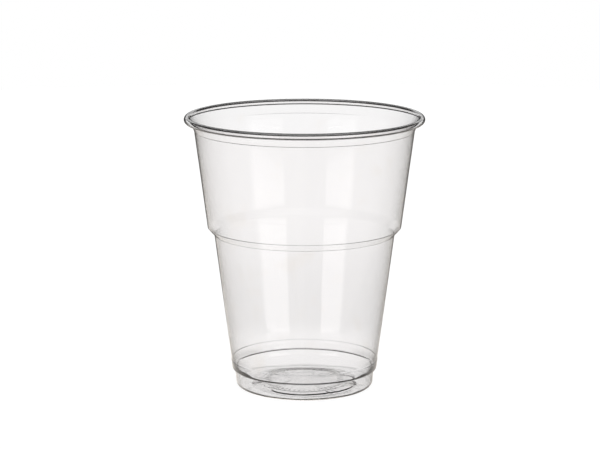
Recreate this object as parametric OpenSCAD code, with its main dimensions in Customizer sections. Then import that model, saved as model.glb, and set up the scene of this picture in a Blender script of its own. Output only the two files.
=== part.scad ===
// Clear disposable drinking cup, formed from one sheet of plastic: a rolled rim, a flared neck,
// two tapered walls with a shoulder between them, a ledge, and a foot ring round a raised floor.
// Millimetres, +Z up, with the origin at the centre of the foot ring's flat underside.

/* [Rim] */
// Height of the cup
cup_h = 109; // [95:0.5:125]
// Diameter over the rolled rim
rim_d = 95; // [80:0.5:110]
// Diameter of the roll's own section
curl_d = 2.6; // [2.2:0.1:3.6]
// Angle through which the sheet's edge is rolled over, in degrees
curl_turn = 225; // [180:5:295]

/* [Neck] */
// Depth of the neck ring below the top of the rim
neck_drop = 5.7; // [4.5:0.1:8]
// Distance from the rim's edge in to the neck ring
neck_in = 4; // [3.4:0.1:5]
// Inside radius of the bend at the neck ring
neck_round = 0.6; // [0.1:0.1:3]

/* [Walls] */
// Lean of both walls, in degrees from upright
wall_lean = 7.4; // [4:0.1:9]
// Depth of the stacking line below the top of the rim
line_drop = 16.8; // [11:0.1:28]
// Distance that the wall steps in below the stacking line
line_in = 0.1; // [0.05:0.05:0.4]
// Height of that step
line_h = 0.5; // [0.2:0.05:1]

/* [Shoulder] */
// Depth of the shoulder's upper corner below the top of the rim
shoulder_drop = 44.4; // [32:0.1:60]
// Height from the shoulder's lower corner to its upper one
shoulder_h = 2.8; // [2:0.1:8]
// Distance that the shoulder steps in
shoulder_in = 2.6; // [1:0.1:5]
// Inside radius of the shoulder's two bends
shoulder_round = 0.3; // [0.1:0.1:4]

/* [Foot] */
// Height of the ledge over the foot
ledge_z = 6.9; // [5:0.1:12]
// Distance that the ledge steps in
ledge_in = 1; // [0.9:0.05:3]
// Inside radius of the ledge's two bends
ledge_round = 0.2; // [0.1:0.05:0.2]
// Lean of the foot's wall, in degrees from upright
foot_lean = 4; // [1:0.5:9]
// Inside radius of the foot's lower edge
foot_round = 1.2; // [0.2:0.1:3]
// Distance from the foot's lower edge in to the hollow under the floor
ring_w = 6.2; // [4:0.1:9]
// Inside radius of the two bends between the ring and the floor
ring_round = 0.1; // [0.05:0.05:0.2]
// Height of the hollow under the floor
push_up = 0.7; // [0.6:0.1:4]
// Lean of the hollow's wall, in degrees from upright
push_lean = 20; // [10:1:45]

/* [Sheet] */
// Thickness of the rolled rim and the neck
lip_t = 0.5; // [0.25:0.05:0.6]
// Thickness of the two walls
wall_t = 0.3; // [0.2:0.05:0.5]
// Thickness of the floor, the foot and the ledge
base_t = 0.6; // [0.3:0.05:0.7]
// Height above the ledge in which the sheet thins from the base to the wall
heel_h = 5; // [2:0.5:15]

/* [Hidden] */

// Steps of a full turn round the axis, and the angle of one step along a bend in the section
$fn = 240;
bend_step = 8;

// Rolled rim: the section's radius, and the centre that the sheet turns about
curl_r = curl_d / 2;
curl_at = [rim_d / 2 - curl_r, cup_h - curl_r];

// Upper wall, from the neck ring down
neck_at = [rim_d / 2 - neck_in, cup_h - neck_drop];
line_top = wall_below(neck_at, cup_h - line_drop);
line_foot = line_top - [line_in, line_h];
shoulder_top = wall_below(line_foot, cup_h - shoulder_drop);

// Lower wall, from the shoulder down
shoulder_foot = shoulder_top - [shoulder_in, shoulder_h];
heel_at = wall_below(shoulder_foot, ledge_z + heel_h);
ledge_edge = wall_below(heel_at, ledge_z);

// Foot, from the ledge down and in to the axis
foot_top = ledge_edge - [ledge_in, 0];
foot_edge = [foot_top.x - ledge_z * tan(foot_lean), 0];
ring_edge = foot_edge - [ring_w, 0];
floor_edge = ring_edge + [-push_up * tan(push_lean), push_up];
floor_mid = [0, push_up];

// The sheet's outer face from the floor's middle up to the neck: each corner's place, the inside
// radius of its bend and the sheet's thickness there
corners = [
    [floor_mid, 0, base_t],
    [floor_edge, ring_round, base_t],
    [ring_edge, ring_round, base_t],
    [foot_edge, foot_round, base_t],
    [foot_top, ledge_round, base_t],
    [ledge_edge, ledge_round, base_t],
    [heel_at, 0, wall_t],
    [shoulder_foot, shoulder_round, wall_t],
    [shoulder_top, shoulder_round, wall_t],
    [line_foot, line_h / 2, wall_t],
    [line_top, line_h / 2, wall_t],
    [neck_at, neck_round, lip_t],
];

// The sheet's outer face turns inside the roll, where it meets the flared neck at a tangent
roll_r = curl_r - lip_t;
to_curl = curl_at - neck_at;
flare_dir = atan2(to_curl.y, to_curl.x) + asin(roll_r / norm(to_curl));
flare_len = sqrt(norm(to_curl) ^ 2 - roll_r ^ 2);
flare_top = neck_at + flare_len * along(flare_dir);

// Place where a wall that leans by wall_lean and passes through a point reaches a lower height
function wall_below(p, z) = [p.x - (p.y - z) * tan(wall_lean), z];

// Unit vector at an angle, and the angle of a vector
function along(a) = [cos(a), sin(a)];
function heading(v) = atan2(v.y, v.x);

// Angle from one heading round to another, between -180 and 180
function turn(a, b) = (b - a + 540) % 360 - 180;

// Stations round a bend at p, as [place, facing of the inner face, thickness], between the
// headings a and b of the straight stretches that meet there. The face on the inside of the bend
// has the radius inside_r, so the outer face has that and the thickness where the sheet turns
// towards its inner face.
function bend(p, inside_r, t, a, b) =
    let (
        angle = turn(a, b),
        side = sign(angle),
        r = inside_r + (side > 0 ? t : 0),
        steps = round(abs(angle) / bend_step),
        centre = p - r * tan(abs(angle) / 2) * along(a) + side * r * along(a + 90)
    )
    steps == 0 ? [[p, a + 90 + angle / 2, t]] :
    [for (i = [0:steps])
        let (facing = a + 90 + angle * i / steps)
        [centre - side * r * along(facing), facing, t]];

// Stations of the sheet from the floor's middle to the neck
function body_stations() =
    let (ends = concat(corners, [[flare_top]]), last = len(corners) - 1)
    [for (i = [0:last])
        let (
            out = heading(ends[i + 1][0] - ends[i][0]),
            in = i == 0 ? out : heading(ends[i][0] - ends[i - 1][0])
        )
        each bend(ends[i][0], ends[i][1], ends[i][2], in, out)];

// Stations of the sheet over the rolled rim, round the roll's centre
function curl_stations() =
    let (steps = ceil(curl_turn / bend_step), start = flare_dir + 90)
    [for (i = [0:steps])
        let (facing = start - curl_turn * i / steps)
        [curl_at + roll_r * along(facing), facing, lip_t]];

// Section of the sheet: its outer face from the axis to the rolled edge, and its inner face back
module sheet_section() {
    stations = concat(body_stations(), curl_stations());
    outer_face = [for (s = stations) s[0]];
    inner_face = [for (s = stations) s[0] + s[2] * along(s[1])];
    back = [for (i = [len(stations) - 1:-1:0]) inner_face[i]];
    polygon(concat(outer_face, back));
}

module cup() {
    color("gainsboro", 0.4)
        rotate_extrude()
            sheet_section();
}

cup();
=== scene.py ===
import math

import bpy
import numpy as np
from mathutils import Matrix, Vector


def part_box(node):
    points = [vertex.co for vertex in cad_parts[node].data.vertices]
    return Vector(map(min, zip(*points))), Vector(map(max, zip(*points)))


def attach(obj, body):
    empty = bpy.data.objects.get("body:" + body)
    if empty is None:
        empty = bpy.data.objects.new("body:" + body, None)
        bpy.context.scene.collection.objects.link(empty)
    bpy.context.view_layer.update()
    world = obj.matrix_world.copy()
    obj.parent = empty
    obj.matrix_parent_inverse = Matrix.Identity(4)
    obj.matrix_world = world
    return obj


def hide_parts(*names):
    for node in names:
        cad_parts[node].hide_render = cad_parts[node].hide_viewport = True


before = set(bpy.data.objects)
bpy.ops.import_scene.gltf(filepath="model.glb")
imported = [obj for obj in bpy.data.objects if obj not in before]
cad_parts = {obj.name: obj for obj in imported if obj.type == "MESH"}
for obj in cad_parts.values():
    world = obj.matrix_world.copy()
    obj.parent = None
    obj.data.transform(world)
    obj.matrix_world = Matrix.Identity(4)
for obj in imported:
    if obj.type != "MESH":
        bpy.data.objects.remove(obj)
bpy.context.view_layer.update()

# The cup: one sheet of clear PLA, softened and drawn over a mould. The same sheet makes the floor,
# the foot ring, the ledge, both walls and the shoulder, and its edge is rolled over hot to make
# the rim. The surface is the sheet's section turned round the axis.
MM = 0.001
low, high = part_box("cup")
CUP_H = high[2]
RIM_R = min(high[0], -low[0])
LIP_T, WALL_T, BASE_T = 0.5 * MM, 0.3 * MM, 0.6 * MM
CURL_R, CURL_TURN = 1.3 * MM, 225
NECK_IN, NECK_DROP, NECK_ROUND = 4 * MM, 5.7 * MM, 0.6 * MM
WALL_LEAN = 7.4
LINE_DROP, LINE_IN, LINE_H = 16.8 * MM, 0.1 * MM, 0.5 * MM
SHOULDER_DROP, SHOULDER_H, SHOULDER_IN = 44.4 * MM, 2.8 * MM, 2.6 * MM
SHOULDER_ROUND = 0.3 * MM
LEDGE_Z, LEDGE_IN, LEDGE_ROUND = 6.9 * MM, 1 * MM, 0.2 * MM
FOOT_LEAN, FOOT_ROUND = 4, 1.2 * MM
RING_W, RING_ROUND = 6.2 * MM, 0.1 * MM
PUSH_UP, PUSH_LEAN = 0.7 * MM, 20
HEEL_H = 5 * MM

# The drawn sheet isn't even: its inner face, which no mould touches, waves in and out in broad soft
# streaks. These are shares of its thickness, at the base and on the walls, and each streak's share,
# waves in a turn, length of sheet in which it drifts by one wave, and start in radians.
BASE_UNEVEN, WALL_UNEVEN = 0.15, 0.05
DRAWN_STREAKS = [(0.4, 5, 31 * MM, 0.7), (0.3, 9, -47 * MM, 2.1),
                 (0.2, 14, 38 * MM, 4.0), (0.1, 23, -70 * MM, 5.2)]

# Close to, the ledge is a narrow flat with a slope under it, and a shallow band stands proud of the
# wall over it. The sheet is heavier there in four places, each given as its bearing, its spread in
# degrees and the share that it adds. The floor's step is sharp at the front and the right only,
# with a few dents in it: elsewhere the floor domes softly up from the ring.
BAND_TOP_Z, BAND_H, BAND_OUT = 11.1 * MM, 0.35 * MM, 0.2 * MM
FLAT_W, SLOPE_H = 0.8 * MM, 2 * MM
BAND_T = 0.38 * MM
HEAVY_Z, HEAVY_H = 7 * MM, 1.6 * MM
HEAVY = [(213, 22, 0.22), (321, 14, 0.22), (155, 22, 0.22), (28, 18, 0.22)]
CRISP_AT, CRISP_HALF, CRISP_EDGE, DOME_IN = 296, 72, 12, 0.3
DENT_AT, DENT_SPAN, DENT_UP, DENT_COUNT, DENT_FADE = 299, 8, 0.45 * MM, 40, 4

# Steps round the axis, in each bend and along each straight stretch
AROUND = 264
BEND_STEP = math.radians(6)
STRAIGHT_STEP = 3 * MM


def below(point, z):
    """Place at height z on a wall that leans by WALL_LEAN and passes through a point."""
    return point[0] - (point[1] - z) * math.tan(math.radians(WALL_LEAN)), z


def bend(corner, inside_r, t, uneven, a, b):
    """Stations round a corner between headings a and b: an arc whose inside face has inside_r,
    so the outer face's arc is wider by the thickness where the sheet turns to its inner face."""
    angle = (b - a + math.pi) % (2 * math.pi) - math.pi
    side = math.copysign(1, angle)
    r = inside_r + (t if side > 0 else 0)
    steps = round(abs(angle) / BEND_STEP)
    if not steps:
        return np.array([[*corner, a + math.pi / 2, t, uneven]])
    facing = a + math.pi / 2 + angle * np.linspace(0, 1, steps + 1)
    ahead, across = np.array([math.cos(a), math.sin(a)]), np.array([-math.sin(a), math.cos(a)])
    centre = np.array(corner) + r * (side * across - math.tan(abs(angle) / 2) * ahead)
    arc = centre - side * r * np.column_stack([np.cos(facing), np.sin(facing)])
    return np.column_stack([arc, facing, np.full(steps + 1, t), np.full(steps + 1, uneven)])


def sheet_stations():
    """Stations of the sheet from the floor's middle over every bend to the rolled edge, each as
    radius, height, facing of the inner face, thickness and unevenness. Straight stretches are
    divided evenly between the bends at their ends."""
    curl = np.array([RIM_R - CURL_R, CUP_H - CURL_R])
    neck = (RIM_R - NECK_IN, CUP_H - NECK_DROP)
    line_top = below(neck, CUP_H - LINE_DROP)
    line_foot = (line_top[0] - LINE_IN, line_top[1] - LINE_H)
    shoulder_top = below(line_foot, CUP_H - SHOULDER_DROP)
    shoulder_foot = (shoulder_top[0] - SHOULDER_IN, shoulder_top[1] - SHOULDER_H)
    heel = below(shoulder_foot, LEDGE_Z + HEEL_H)
    band_top, band_edge = below(heel, BAND_TOP_Z), below(heel, BAND_TOP_Z - BAND_H)
    ledge = below(heel, LEDGE_Z)
    foot_top = (ledge[0] - LEDGE_IN, LEDGE_Z)
    foot = (foot_top[0] - LEDGE_Z * math.tan(math.radians(FOOT_LEAN)), 0)
    ring = (foot[0] - RING_W, 0)
    floor_edge = (ring[0] - PUSH_UP * math.tan(math.radians(PUSH_LEAN)), PUSH_UP)
    corners = [((0, PUSH_UP), 0, BASE_T, 0),
               (floor_edge, RING_ROUND, BASE_T, BASE_UNEVEN),
               (ring, RING_ROUND, BASE_T, BASE_UNEVEN),
               (foot, FOOT_ROUND, BASE_T, BASE_UNEVEN),
               ((foot_top[0], LEDGE_Z - SLOPE_H), LEDGE_ROUND, BASE_T, BASE_UNEVEN),
               ((ledge[0] + BAND_OUT - FLAT_W, LEDGE_Z), LEDGE_ROUND, BASE_T, BASE_UNEVEN),
               ((ledge[0] + BAND_OUT, LEDGE_Z), LEDGE_ROUND, BASE_T, BASE_UNEVEN),
               ((band_edge[0] + BAND_OUT, band_edge[1]), LEDGE_ROUND, BAND_T, BASE_UNEVEN),
               (band_top, LEDGE_ROUND, BAND_T, WALL_UNEVEN),
               (heel, 0, WALL_T, WALL_UNEVEN),
               (shoulder_foot, SHOULDER_ROUND, WALL_T, WALL_UNEVEN),
               (shoulder_top, SHOULDER_ROUND, WALL_T, WALL_UNEVEN),
               (line_foot, LINE_H / 2, WALL_T, WALL_UNEVEN),
               (line_top, LINE_H / 2, WALL_T, WALL_UNEVEN),
               (neck, NECK_ROUND, LIP_T, 0)]
    roll_r = CURL_R - LIP_T
    to_curl = curl - neck
    reach = math.hypot(*to_curl)
    flare = math.atan2(to_curl[1], to_curl[0]) + math.asin(roll_r / reach)
    flare_len = math.sqrt(reach ** 2 - roll_r ** 2)
    places = [c[0] for c in corners]
    places.append((neck[0] + flare_len * math.cos(flare),
                   neck[1] + flare_len * math.sin(flare)))
    ways = [math.atan2(q[1] - p[1], q[0] - p[0]) for p, q in zip(places, places[1:])]
    bends = [bend(*corner, a, b) for corner, a, b in zip(corners, ways[:1] + ways, ways)]
    steps = math.ceil(math.radians(CURL_TURN) / BEND_STEP)
    facing = flare + math.pi / 2 - math.radians(CURL_TURN) * np.linspace(0, 1, steps + 1)
    roll = curl + roll_r * np.column_stack([np.cos(facing), np.sin(facing)])
    bends.append(np.column_stack([roll, facing, np.full(steps + 1, LIP_T), np.zeros(steps + 1)]))
    rows = [bends[0]]
    for last, this in zip(bends, bends[1:]):
        count = math.ceil(math.dist(last[-1][:2], this[0][:2]) / STRAIGHT_STEP)
        share = np.arange(1, count)[:, None] / count
        rows += [last[-1] + (this[0] - last[-1]) * share, this]
    return np.concatenate(rows)


def drawn_streaks(along, turn):
    """Unevenness between -1 and 1 at a distance along the sheet and an angle round the axis: the
    sum of the streaks' cosines, each of which slants as it goes up the sheet."""
    return sum(share * np.cos(count * turn + 2 * math.pi * along / length + start)
               for share, count, length, start in DRAWN_STREAKS)


def turned_from(turn, degrees):
    """Angle from a bearing, between minus and plus half a turn."""
    return (turn - math.radians(degrees) + math.pi) % (2 * math.pi) - math.pi


def hump(turn, degrees, spread):
    """Bell curve of an angle: one at the middle, falling to about a third at the spread from it."""
    return np.exp(-(turned_from(turn, degrees) / math.radians(spread)) ** 2)


def heaviness(z, turn):
    """Extra share of thickness: a bell curve of height round the ledge, times the humps' sum."""
    near_ledge = np.exp(-((z - HEAVY_Z) / HEAVY_H) ** 2)
    return near_ledge * sum(more * hump(turn, at, wide) for at, wide, more in HEAVY)


def warped(s, turn):
    """Each station as radius, height and facing once the sheet has cooled: where the floor isn't
    crisp it shrinks inwards in proportion to its height, and faces up, so its step spreads to a
    soft dome. Small dents ripple up where the crisp edge is broken, and fade towards the axis as
    a power of the radius."""
    r, z, facing = (s[:, n:n + 1] + 0 * turn for n in range(3))
    foot_r = s[:, 0][np.isclose(s[:, 1], 0)].max()
    on_floor = s[:, :1] < foot_r - RING_W / 2
    gap = np.degrees(turned_from(turn, CRISP_AT))
    crisp = (np.tanh((gap + CRISP_HALF) / CRISP_EDGE)
             - np.tanh((gap - CRISP_HALF) / CRISP_EDGE)) / 2
    climb = np.where(on_floor, np.clip(s[:, 1:2] / PUSH_UP, 0, 1), 0)
    r = r * (1 - DOME_IN * (1 - crisp) * climb)
    facing = np.where(on_floor, math.pi / 2 + (facing - math.pi / 2) * crisp, facing)
    dents = DENT_UP * hump(turn, DENT_AT, DENT_SPAN) * (1 + np.cos(DENT_COUNT * turn)) / 2
    z = z + np.where(on_floor, dents * np.clip(s[:, :1] / foot_r, 0, 1) ** DENT_FADE, 0)
    return r, z, facing


def turned_sheet(name):
    """Closed mesh of the sheet: a point at station s and angle a is (r cos a, r sin a, z), on the
    outer face at the warped station, and on the inner face at the thickness from it, times one
    plus the streaks and the heaviness. The outer face's rings come first, then the inner face's
    rings back."""
    s = sheet_stations()
    turn = np.linspace(0, 2 * math.pi, AROUND, endpoint=False)[None, :]
    along = np.concatenate([[0], np.cumsum(np.hypot(*np.diff(s[:, :2], axis=0).T))])[:, None]
    thick = s[:, 3:4] * (1 + s[:, 4:5] * drawn_streaks(along, turn) + heaviness(s[:, 1:2], turn))
    outer_r, outer_z, facing = warped(s, turn)
    r = np.concatenate([outer_r[1:], (outer_r + thick * np.cos(facing))[:0:-1]])
    z = np.concatenate([outer_z[1:], (outer_z + thick * np.sin(facing))[:0:-1]])
    rings = np.stack([r * np.cos(turn), r * np.sin(turn), z], axis=-1)
    poles = [[0, 0, s[0, 1]], [0, 0, s[0, 1] + s[0, 3]]]
    verts = np.concatenate([rings.reshape(-1, 3), poles])
    i = np.arange(len(r) - 1)[:, None] * AROUND
    j = np.arange(AROUND)[None, :]
    k = (j + 1) % AROUND
    quads = np.stack([i + j, i + k, i + AROUND + k, i + AROUND + j], axis=-1).reshape(-1, 4)
    under, top, last = len(verts) - 2, len(verts) - 1, (len(r) - 1) * AROUND
    j, k = j[0], k[0]
    caps = np.concatenate([np.column_stack([under + 0 * j, k, j]),
                           np.column_stack([top + 0 * j, last + j, last + k])])
    mesh = bpy.data.meshes.new(name)
    mesh.from_pydata(verts.tolist(), [], quads.tolist() + caps.tolist())
    mesh.update()
    mesh.shade_smooth()
    piece = bpy.data.objects.new(name, mesh)
    bpy.context.scene.collection.objects.link(piece)
    return piece


def linear(hex_colour):
    """Linear RGBA of an sRGB hex colour."""
    parts = [int(hex_colour[n:n + 2], 16) / 255 for n in (1, 3, 5)]
    return (*[c / 12.92 if c <= 0.04045 else ((c + 0.055) / 1.055) ** 2.4 for c in parts], 1)


def add(tree, kind, inputs, **settings):
    """Adds a node, sets its properties, and gives each input, named or numbered, a value or a link
    from a socket or from a node's first output in use."""
    node = tree.nodes.new(kind)
    for key, value in settings.items():
        setattr(node, key, value)
    for key, value in inputs.items():
        if isinstance(value, bpy.types.Node):
            value = next(socket for socket in value.outputs if socket.enabled)
        if isinstance(value, bpy.types.NodeSocket):
            tree.links.new(value, node.inputs[key])
        else:
            node.inputs[key].default_value = value
    return node


def new_material(name):
    """Material with an empty node tree, and that tree."""
    material = bpy.data.materials.new(name)
    material.use_nodes = True
    material.node_tree.nodes.clear()
    return material, material.node_tree


# Clear PLA sheet, thermoformed: colourless, glossy and slightly wavy, because it was stretched
# while soft. Broad patches are a little duller, fine upright streaks follow the draw, and the
# mould leaves a plain ring and short ribs on the floor, which the eye sees as faint lines.
# The real streaks are finer than the picture shows, so they are drawn 1.5 mm wide. Each pattern of
# noise has its octaves, and heights of bumps are in millimetres.
PLA_IOR = 1.46
GLOSS_FROM, GLOSS_TO, GLOSS_PATCH, GLOSS_OCTAVES = 0.01, 0.05, 9 * MM, 4.0
PATCH_FROM, PATCH_TO = 0.35, 0.7
TINT_PATCH, TINT_OCTAVES, CLEAR_TINT, DRAWN_TINT = 14 * MM, 3.0, "#fffefe", "#fcf9f6"
TINT_FROM, TINT_TO = 0.6, 0.8
WAVE_HEIGHT, WAVE_LENGTH, WAVE_OCTAVES = 0.006, 4 * MM, 1.0
STREAK_HEIGHT, STREAK_WIDTH, STREAK_LENGTH, STREAK_OCTAVES = 0.003, 1.5 * MM, 40 * MM, 2.0
RELIEF_HEIGHT, RELIEF_Z = 0.03, 2 * MM
RELIEF_RING, RELIEF_RING_W = 17 * MM, 0.5 * MM
RIB_MID, RIB_HALF, RIB_COUNT, RIB_EDGE, RIB_FROM = 14.5 * MM, 1 * MM, 48, 0.2 * MM, 0.2
plastic, tree = new_material("clear_PLA_thermoformed")
place = add(tree, "ShaderNodeTexCoord", {}).outputs["Object"]
patches = add(tree, "ShaderNodeTexNoise", {"Vector": place, "Scale": 1 / GLOSS_PATCH,
                                           "Detail": GLOSS_OCTAVES})
dull = add(tree, "ShaderNodeMapRange", {"Value": patches, "From Min": PATCH_FROM,
                                        "From Max": PATCH_TO, "To Min": GLOSS_FROM,
                                        "To Max": GLOSS_TO})
tinted = add(tree, "ShaderNodeTexNoise", {"Vector": place, "Scale": 1 / TINT_PATCH,
                                          "Detail": TINT_OCTAVES})
tinting = add(tree, "ShaderNodeMapRange", {"Value": tinted, "From Min": TINT_FROM,
                                           "From Max": TINT_TO})
tint = add(tree, "ShaderNodeMix", {0: tinting, 6: linear(CLEAR_TINT), 7: linear(DRAWN_TINT)},
           data_type="RGBA")
waves = add(tree, "ShaderNodeTexNoise", {"Vector": place, "Scale": 1 / WAVE_LENGTH,
                                         "Detail": WAVE_OCTAVES})
upright = add(tree, "ShaderNodeMapping", {"Vector": place,
                                          "Scale": (1 / STREAK_WIDTH, 1 / STREAK_WIDTH,
                                                    1 / STREAK_LENGTH)})
streaks = add(tree, "ShaderNodeTexNoise", {"Vector": upright, "Scale": 1.0,
                                           "Detail": STREAK_OCTAVES})
wavy = add(tree, "ShaderNodeMath", {0: waves, 1: WAVE_HEIGHT}, operation="MULTIPLY")
skin = add(tree, "ShaderNodeMath", {0: streaks, 1: STREAK_HEIGHT, 2: wavy}, operation="MULTIPLY_ADD")
axes = add(tree, "ShaderNodeSeparateXYZ", {0: place})
flat = add(tree, "ShaderNodeVectorMath", {0: place, 1: (1, 1, 0)}, operation="MULTIPLY")
reach = add(tree, "ShaderNodeVectorMath", {0: flat}, operation="LENGTH").outputs["Value"]
from_ring = add(tree, "ShaderNodeMath", {0: reach, 1: RELIEF_RING}, operation="SUBTRACT")
from_ring = add(tree, "ShaderNodeMath", {0: from_ring}, operation="ABSOLUTE")
ring_line = add(tree, "ShaderNodeMapRange", {"Value": from_ring, "From Max": RELIEF_RING_W,
                                             "To Min": 1.0, "To Max": 0.0},
                interpolation_type="SMOOTHSTEP")
bearing = add(tree, "ShaderNodeMath", {0: axes.outputs["Y"], 1: axes.outputs["X"]}, operation="ARCTAN2")
spokes = add(tree, "ShaderNodeMath", {0: bearing, 1: RIB_COUNT}, operation="MULTIPLY")
spokes = add(tree, "ShaderNodeMath", {0: spokes}, operation="COSINE")
spokes = add(tree, "ShaderNodeMapRange", {"Value": spokes, "From Min": RIB_FROM, "From Max": 1.0},
             interpolation_type="SMOOTHSTEP")
from_rib = add(tree, "ShaderNodeMath", {0: reach, 1: RIB_MID}, operation="SUBTRACT")
from_rib = add(tree, "ShaderNodeMath", {0: from_rib}, operation="ABSOLUTE")
rib_span = add(tree, "ShaderNodeMapRange", {"Value": from_rib, "From Min": RIB_HALF - RIB_EDGE,
                                            "From Max": RIB_HALF + RIB_EDGE, "To Min": 1.0, "To Max": 0.0})
ribs = add(tree, "ShaderNodeMath", {0: spokes, 1: rib_span}, operation="MULTIPLY")
marks = add(tree, "ShaderNodeMath", {0: ribs, 1: ring_line}, operation="MAXIMUM")
on_floor = add(tree, "ShaderNodeMath", {0: axes.outputs["Z"], 1: RELIEF_Z}, operation="LESS_THAN")
marks = add(tree, "ShaderNodeMath", {0: marks, 1: on_floor}, operation="MULTIPLY")
height = add(tree, "ShaderNodeMath", {0: marks, 1: RELIEF_HEIGHT, 2: skin}, operation="MULTIPLY_ADD")
relief = add(tree, "ShaderNodeBump", {"Height": height, "Strength": 1.0, "Distance": MM})
gloss = add(tree, "ShaderNodeBsdfPrincipled", {"Base Color": tint, "Roughness": dull, "Normal": relief,
                                               "IOR": PLA_IOR, "Transmission Weight": 1.0})
path = add(tree, "ShaderNodeLightPath", {})
# Light that falls through the sheet on to the table isn't traced as caustics, so it passes as
# through thin film, which leaves the soft pale shadow of the real cup.
FILM = "#fbfbfb"
film = add(tree, "ShaderNodeBsdfTransparent", {"Color": linear(FILM)})
soft_ray = add(tree, "ShaderNodeMath", {0: path.outputs["Is Shadow Ray"],
                                        1: path.outputs["Is Diffuse Ray"]}, operation="MAXIMUM")
sheet = add(tree, "ShaderNodeMixShader", {0: soft_ray, 1: gloss, 2: film})
add(tree, "ShaderNodeOutputMaterial", {"Surface": sheet})

cup = turned_sheet("cup_sheet")
cup.data.materials.append(plastic)
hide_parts("cup")
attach(cup, "root")

# The table: a round top of matt white board under the cup, cut from one sheet and laid flat. It is
# white to the eye and takes the cup's soft shadow. From below it is open, so the cup can be seen.
TABLE_R, TABLE_SIDES = 0.88, 128
BOARD_WHITE, BOARD_GLOW = 0.99, 0.08

# Clear plastic shows only what is round it, so the board has other tones, seen only in the cup,
# which are painted shade, shadow and reflection. Distances are from the cup, and angles are
# degrees: down to the board, or to either side of straight behind the cup. Seen through the cup,
# it dips to a little greyer close behind: a painted soft shadow ring round the cup.
DIP, DIP_NEAR, DIP_NEAR_END, DIP_FAR, DIP_FAR_END = 0.085, 0.07, 0.11, 0.15, 0.34
# It is painted dark, as shade, for light that the bends throw down steeply or far aside: wholly
# for light that has crossed six faces of the sheet or more, and a fifth of that for four, which is two
# plain walls.
BENT_FROM, BENT_TO, BENT_BACK, BENT_END, BENT_PAINTED_SHADE = 16, 20, 45, 60, 0.04
CROSSED_FROM, CROSSED_TO = 3.75, 5
ASIDE_FROM, ASIDE_TO, ASIDE_REACH = 15, 30, 0.2
# Mirrored in the sheet, it shows a painted reflection: dark grey painted shade, with painted pale
# light at the sides and near the cup. It is painted nearly black where the light has been inside the
# sheet, or has been mirrored twice.
PAINTED_REFLECTION_OUTSIDE, PAINTED_REFLECTION_INSIDE, PAINTED_REFLECTION_COLOUR = 0.2, 0.03, "#fff9f2"
PAINTED_REFLECTION_SIDE_FROM, PAINTED_REFLECTION_SIDE_TO, PAINTED_REFLECTION_LEFT, PAINTED_REFLECTION_RIGHT = 18, 36, 1.1, 0.8
PAINTED_REFLECTION_NEAR, PAINTED_REFLECTION_FAR, PAINTED_REFLECTION_FAR_SHARE = 0.3, 0.5, 0.35
# A light path's depth is over these when it has been mirrored, or has crossed a face, that often.
ONCE, TWICE = 0.5, 1.5
edge = np.linspace(0, 2 * math.pi, TABLE_SIDES, endpoint=False)
table_mesh = bpy.data.meshes.new("table")
rim = TABLE_R * np.stack([np.cos(edge), np.sin(edge), 0 * edge], axis=-1)
table_mesh.from_pydata(rim.tolist(), [], [list(range(TABLE_SIDES))])
table = bpy.data.objects.new("table", table_mesh)
bpy.context.scene.collection.objects.link(table)
board, tree = new_material("matt_white_board")
path = add(tree, "ShaderNodeLightPath", {})
place = add(tree, "ShaderNodeTexCoord", {}).outputs["Object"]
axes = add(tree, "ShaderNodeSeparateXYZ", {0: place})
reach = add(tree, "ShaderNodeVectorMath", {0: place}, operation="LENGTH").outputs["Value"]
# Painted soft shadow ring: greyer close behind the cup, only for light seen through the sheet
near = add(tree, "ShaderNodeMapRange", {"Value": reach, "From Min": DIP_NEAR, "From Max": DIP_NEAR_END,
                                        "To Max": DIP}, interpolation_type="SMOOTHSTEP")
far = add(tree, "ShaderNodeMapRange", {"Value": reach, "From Min": DIP_FAR, "From Max": DIP_FAR_END,
                                       "To Min": 1.0, "To Max": 0.0}, interpolation_type="SMOOTHSTEP")
painted_shadow = add(tree, "ShaderNodeMath", {0: near, 1: far}, operation="MULTIPLY")
through = add(tree, "ShaderNodeMath", {0: path.outputs["Transmission Depth"], 1: 1.0},
              operation="MINIMUM")
painted_shadow = add(tree, "ShaderNodeMath", {0: painted_shadow, 1: through}, operation="MULTIPLY")
white = add(tree, "ShaderNodeMapRange", {"Value": painted_shadow, "To Min": BOARD_WHITE, "To Max": 0.0})
# Painted shade: the board is dark for light bent steeply down or far aside
# Layer Weight's Facing, which is one less the sine of the angle down to the board
facing = add(tree, "ShaderNodeLayerWeight", {}).outputs["Facing"]
steep = add(tree, "ShaderNodeMapRange", {"Value": facing, "From Min": 1 - math.sin(math.radians(BENT_TO)),
                                         "From Max": 1 - math.sin(math.radians(BENT_FROM)),
                                         "To Min": 1.0, "To Max": 0.0}, interpolation_type="SMOOTHSTEP")
sheer = add(tree, "ShaderNodeMapRange", {"Value": facing, "From Min": 1 - math.sin(math.radians(BENT_END)),
                                         "From Max": 1 - math.sin(math.radians(BENT_BACK))},
            interpolation_type="SMOOTHSTEP")
crossed = add(tree, "ShaderNodeMapRange", {"Value": path.outputs["Transmission Depth"],
                                           "From Min": CROSSED_FROM, "From Max": CROSSED_TO})
bearing = add(tree, "ShaderNodeMath", {0: axes.outputs["X"], 1: axes.outputs["Y"]}, operation="ARCTAN2")
aside = add(tree, "ShaderNodeMath", {0: bearing}, operation="ABSOLUTE")
aside = add(tree, "ShaderNodeMapRange", {"Value": aside, "From Min": math.radians(ASIDE_FROM),
                                         "From Max": math.radians(ASIDE_TO)},
            interpolation_type="SMOOTHSTEP")
away = add(tree, "ShaderNodeMath", {0: reach, 1: ASIDE_REACH}, operation="GREATER_THAN")
aside = add(tree, "ShaderNodeMath", {0: aside, 1: away}, operation="MULTIPLY")
bent = add(tree, "ShaderNodeMath", {0: steep, 1: sheer}, operation="MULTIPLY")
bent = add(tree, "ShaderNodeMath", {0: bent, 1: aside}, operation="MAXIMUM")
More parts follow.
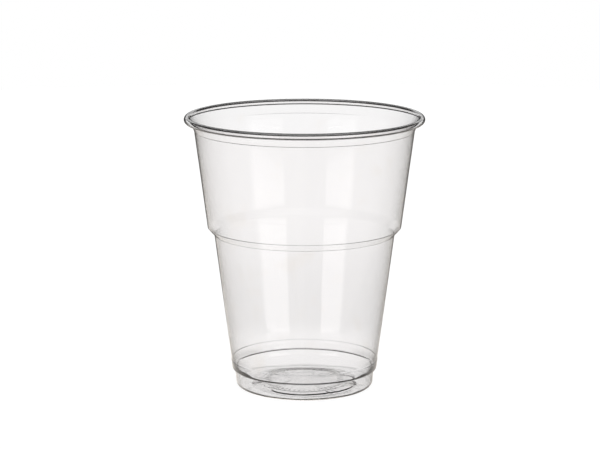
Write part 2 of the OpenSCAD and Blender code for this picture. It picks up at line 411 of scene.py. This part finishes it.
bent = add(tree, "ShaderNodeMath", {0: bent, 1: crossed}, operation="MULTIPLY")
straight = add(tree, "ShaderNodeMix", {0: bent, 2: white, 3: BENT_PAINTED_SHADE})
# Painted reflection: the board's tone mirrored in the sheet, dark grey with paler sides near the cup
leftward = add(tree, "ShaderNodeMapRange", {"Value": bearing, "From Min": -math.radians(PAINTED_REFLECTION_SIDE_TO),
                                            "From Max": -math.radians(PAINTED_REFLECTION_SIDE_FROM),
                                            "To Min": PAINTED_REFLECTION_LEFT, "To Max": 0.0},
               interpolation_type="SMOOTHSTEP")
rightward = add(tree, "ShaderNodeMapRange", {"Value": bearing, "From Min": math.radians(PAINTED_REFLECTION_SIDE_FROM),
                                             "From Max": math.radians(PAINTED_REFLECTION_SIDE_TO),
                                             "To Max": PAINTED_REFLECTION_RIGHT}, interpolation_type="SMOOTHSTEP")
sides = add(tree, "ShaderNodeMath", {0: leftward, 1: rightward}, operation="ADD")
nearness = add(tree, "ShaderNodeMapRange", {"Value": reach, "From Min": PAINTED_REFLECTION_NEAR, "From Max": PAINTED_REFLECTION_FAR,
                                            "To Min": 1.0, "To Max": PAINTED_REFLECTION_FAR_SHARE})
painted_reflection = add(tree, "ShaderNodeMath", {0: sides, 1: nearness, 2: PAINTED_REFLECTION_OUTSIDE}, operation="MULTIPLY_ADD")
mirrored = add(tree, "ShaderNodeMath", {0: path.outputs["Glossy Depth"], 1: ONCE},
               operation="GREATER_THAN")
twice = add(tree, "ShaderNodeMath", {0: path.outputs["Glossy Depth"], 1: TWICE},
            operation="GREATER_THAN")
inside = add(tree, "ShaderNodeMath", {0: path.outputs["Transmission Depth"], 1: TWICE},
             operation="GREATER_THAN")
inside = add(tree, "ShaderNodeMath", {0: inside, 1: twice}, operation="MAXIMUM")
# Painted near-black shade where the light has been inside the sheet or mirrored twice
painted_reflection = add(tree, "ShaderNodeMix", {0: inside, 2: painted_reflection, 3: PAINTED_REFLECTION_INSIDE})
painted_reflection = add(tree, "ShaderNodeVectorMath", {0: painted_reflection, 1: linear(PAINTED_REFLECTION_COLOUR)[:3]}, operation="MULTIPLY")
tone = add(tree, "ShaderNodeMix", {0: mirrored, 6: straight, 7: painted_reflection}, data_type="RGBA")
matt = add(tree, "ShaderNodeBsdfDiffuse", {"Color": tone})
glow = add(tree, "ShaderNodeEmission", {"Strength": BOARD_GLOW})
lit = add(tree, "ShaderNodeAddShader", {0: matt, 1: glow})
seen = add(tree, "ShaderNodeMixShader", {0: path.outputs["Is Camera Ray"], 1: matt, 2: lit})
under = add(tree, "ShaderNodeNewGeometry", {}).outputs["Backfacing"]
bare = add(tree, "ShaderNodeBsdfTransparent", {})
open_under = add(tree, "ShaderNodeMixShader", {0: under, 1: seen, 2: bare})
add(tree, "ShaderNodeOutputMaterial", {"Surface": open_under})
table_mesh.materials.append(board)

# The light: an even white room round the table, which lights it softly from all sides. As on the
# board, the cup shows other levels of it. A level of one is white, and angles are degrees.
# Through the cup it is dark from the table's far edge up to the white ceiling, and white near the
# horizon everywhere but behind the cup.
DARK_THROUGH, CEILING_FROM, CEILING_TO = 0.04, 16, 26
HORIZON_LOW, HORIZON_HIGH, HORIZON_EDGE, HORIZON_OFF = -7.5, 4, 1.5, 75
# Mirrored, it is dim, darker higher up and behind, with a lamp overhead and a paler wall behind.
ROOM, ROOM_SIDE, ROOM_TWICE = 0.25, 0.02, 0.04
ROOM_TOP_FROM, ROOM_TOP_TO, ROOM_BACK, ROOM_DARK = 7, 12, 0.3, 0.2
LAMP, LAMP_FROM, LAMP_TO = 0.5, 50, 65
WALL_BEHIND, WALL_FROM, WALL_TO, WALL_END, WALL_TOP, WALL_HALF = 0.66, 5, 8, 18, 24, 35
# A tall soft box stands in front of the cup on each side and fades upwards. Each has its side, and
# the bearings between which its level rises and falls.
BOXES = [(1, 22, 26, 57, 68), (-1, 24, 27, 54, 62)]
BOX_LOW, BOX_HIGH, BOX_LOW_POWER, BOX_HIGH_POWER = 1.5, 7, 1.6, 0.2
BOX_TOP_FROM, BOX_TOP_TO = 4.8, 6.2
world = bpy.data.worlds.new("soft_studio")
bpy.context.scene.world = world
world.use_nodes = True
tree = world.node_tree
tree.nodes.clear()
path = add(tree, "ShaderNodeLightPath", {})
axes = add(tree, "ShaderNodeSeparateXYZ", {0: add(tree, "ShaderNodeTexCoord", {}).outputs["Generated"]})
sine = axes.outputs["Z"]
towards = add(tree, "ShaderNodeMath", {0: axes.outputs["Y"], 1: -1.0}, operation="MULTIPLY")
bearing = add(tree, "ShaderNodeMath", {0: axes.outputs["X"], 1: towards}, operation="ARCTAN2")
power = add(tree, "ShaderNodeMapRange", {"Value": sine, "From Min": math.sin(math.radians(BOX_LOW)),
                                         "From Max": math.sin(math.radians(BOX_HIGH)),
                                         "To Min": BOX_LOW_POWER, "To Max": BOX_HIGH_POWER})
top = add(tree, "ShaderNodeMapRange", {"Value": sine, "From Min": math.sin(math.radians(BOX_TOP_FROM)),
                                       "From Max": math.sin(math.radians(BOX_TOP_TO)), "To Min": 1.0,
                                       "To Max": 0.0}, interpolation_type="SMOOTHSTEP")
power = add(tree, "ShaderNodeMath", {0: power, 1: top}, operation="MULTIPLY")
room = add(tree, "ShaderNodeMath", {0: axes.outputs["X"], 1: -ROOM_SIDE, 2: ROOM},
           operation="MULTIPLY_ADD")
front = add(tree, "ShaderNodeMapRange", {"Value": axes.outputs["Y"], "From Min": 0.0,
                                         "From Max": ROOM_BACK, "To Min": 1.0, "To Max": ROOM_DARK})
shade = add(tree, "ShaderNodeMapRange", {"Value": sine,
                                         "From Min": math.sin(math.radians(ROOM_TOP_FROM)),
                                         "From Max": math.sin(math.radians(ROOM_TOP_TO)),
                                         "To Min": 1.0, "To Max": ROOM_DARK},
            interpolation_type="SMOOTHSTEP")
room = add(tree, "ShaderNodeMath", {0: room, 1: front}, operation="MULTIPLY")
room = add(tree, "ShaderNodeMath", {0: room, 1: shade}, operation="MULTIPLY")
lamp = add(tree, "ShaderNodeMapRange", {"Value": sine, "From Min": math.sin(math.radians(LAMP_FROM)),
                                        "From Max": math.sin(math.radians(LAMP_TO)), "To Max": LAMP},
           interpolation_type="SMOOTHSTEP")
room = add(tree, "ShaderNodeMath", {0: room, 1: lamp}, operation="ADD")
rise = add(tree, "ShaderNodeMapRange", {"Value": sine, "From Min": math.sin(math.radians(WALL_FROM)),
                                        "From Max": math.sin(math.radians(WALL_TO)), "To Max": WALL_BEHIND},
           interpolation_type="SMOOTHSTEP")
fade = add(tree, "ShaderNodeMapRange", {"Value": sine, "From Min": math.sin(math.radians(WALL_END)),
                                        "From Max": math.sin(math.radians(WALL_TOP)), "To Min": 1.0,
                                        "To Max": 0.0}, interpolation_type="SMOOTHSTEP")
behind = add(tree, "ShaderNodeMath", {0: axes.outputs["Y"], 1: math.cos(math.radians(WALL_HALF))},
             operation="GREATER_THAN")
wall = add(tree, "ShaderNodeMath", {0: rise, 1: fade}, operation="MULTIPLY")
room = add(tree, "ShaderNodeMath", {0: wall, 1: behind, 2: room}, operation="MULTIPLY_ADD")
for side, start, full, fall, gone in BOXES:
    turned = add(tree, "ShaderNodeMath", {0: bearing, 1: float(side)}, operation="MULTIPLY")
    inner = add(tree, "ShaderNodeMapRange", {"Value": turned, "From Min": math.radians(start),
                                             "From Max": math.radians(full)},
                interpolation_type="SMOOTHSTEP")
    outer = add(tree, "ShaderNodeMapRange", {"Value": turned, "From Min": math.radians(fall),
                                             "From Max": math.radians(gone),
                                             "To Min": 1.0, "To Max": 0.0},
                interpolation_type="SMOOTHSTEP")
    box = add(tree, "ShaderNodeMath", {0: inner, 1: outer}, operation="MULTIPLY")
    room = add(tree, "ShaderNodeMath", {0: box, 1: power, 2: room}, operation="MULTIPLY_ADD")
twice = add(tree, "ShaderNodeMath", {0: path.outputs["Glossy Depth"], 1: TWICE},
            operation="GREATER_THAN")
room = add(tree, "ShaderNodeMix", {0: twice, 2: room, 3: ROOM_TWICE})
ceiling = add(tree, "ShaderNodeMapRange", {"Value": sine, "From Min": math.sin(math.radians(CEILING_FROM)),
                                           "From Max": math.sin(math.radians(CEILING_TO)),
                                           "To Min": DARK_THROUGH}, interpolation_type="SMOOTHSTEP")
over = add(tree, "ShaderNodeMapRange", {"Value": sine,
                                        "From Min": math.sin(math.radians(HORIZON_LOW - HORIZON_EDGE)),
                                        "From Max": math.sin(math.radians(HORIZON_LOW))})
under = add(tree, "ShaderNodeMapRange", {"Value": sine,
                                         "From Min": math.sin(math.radians(HORIZON_HIGH)),
                                         "From Max": math.sin(math.radians(HORIZON_HIGH + HORIZON_EDGE)),
                                         "To Min": 1.0, "To Max": 0.0})
aside = add(tree, "ShaderNodeMath", {0: axes.outputs["Y"], 1: math.cos(math.radians(HORIZON_OFF))},
            operation="LESS_THAN")
horizon = add(tree, "ShaderNodeMath", {0: over, 1: under}, operation="MULTIPLY")
horizon = add(tree, "ShaderNodeMath", {0: horizon, 1: aside}, operation="MULTIPLY")
through = add(tree, "ShaderNodeMath", {0: ceiling, 1: horizon}, operation="MAXIMUM")
mirrored = add(tree, "ShaderNodeMath", {0: path.outputs["Glossy Depth"], 1: ONCE},
               operation="GREATER_THAN")
in_cup = add(tree, "ShaderNodeMix", {0: mirrored, 2: through, 3: room})
by_cup = add(tree, "ShaderNodeMath", {0: path.outputs["Is Transmission Ray"],
                                      1: path.outputs["Is Glossy Ray"]}, operation="MAXIMUM")
strength = add(tree, "ShaderNodeMix", {0: by_cup, 2: 1.0, 3: in_cup})
studio = add(tree, "ShaderNodeBackground", {"Color": (1, 1, 1, 1), "Strength": strength})
add(tree, "ShaderNodeOutputWorld", {"Surface": studio})

# The photograph's view: about 0.9 m in front of the cup and 0.24 m over the table, looking down a
# little. Light is followed through enough walls and bends for the rolled rim to stay clear.
CAMERA_AT, CAMERA_DOWN, CAMERA_TURN = (0, -0.8971, 0.2447), 11.316, 0.113
SENSOR, LENS = 36, 138.2
BOUNCES, GLOSS_BOUNCES = 24, 16
camera_data = bpy.data.cameras.new("camera")
camera_data.sensor_width = SENSOR
camera_data.lens = LENS
camera = bpy.data.objects.new("camera", camera_data)
camera.location = CAMERA_AT
camera.rotation_euler = (math.radians(90 - CAMERA_DOWN), 0, math.radians(CAMERA_TURN))
bpy.context.scene.collection.objects.link(camera)
bpy.context.scene.camera = camera
bpy.context.scene.view_settings.view_transform = "Standard"
bpy.context.scene.cycles.max_bounces = BOUNCES
bpy.context.scene.cycles.glossy_bounces = GLOSS_BOUNCES
bpy.context.scene.cycles.transmission_bounces = BOUNCES
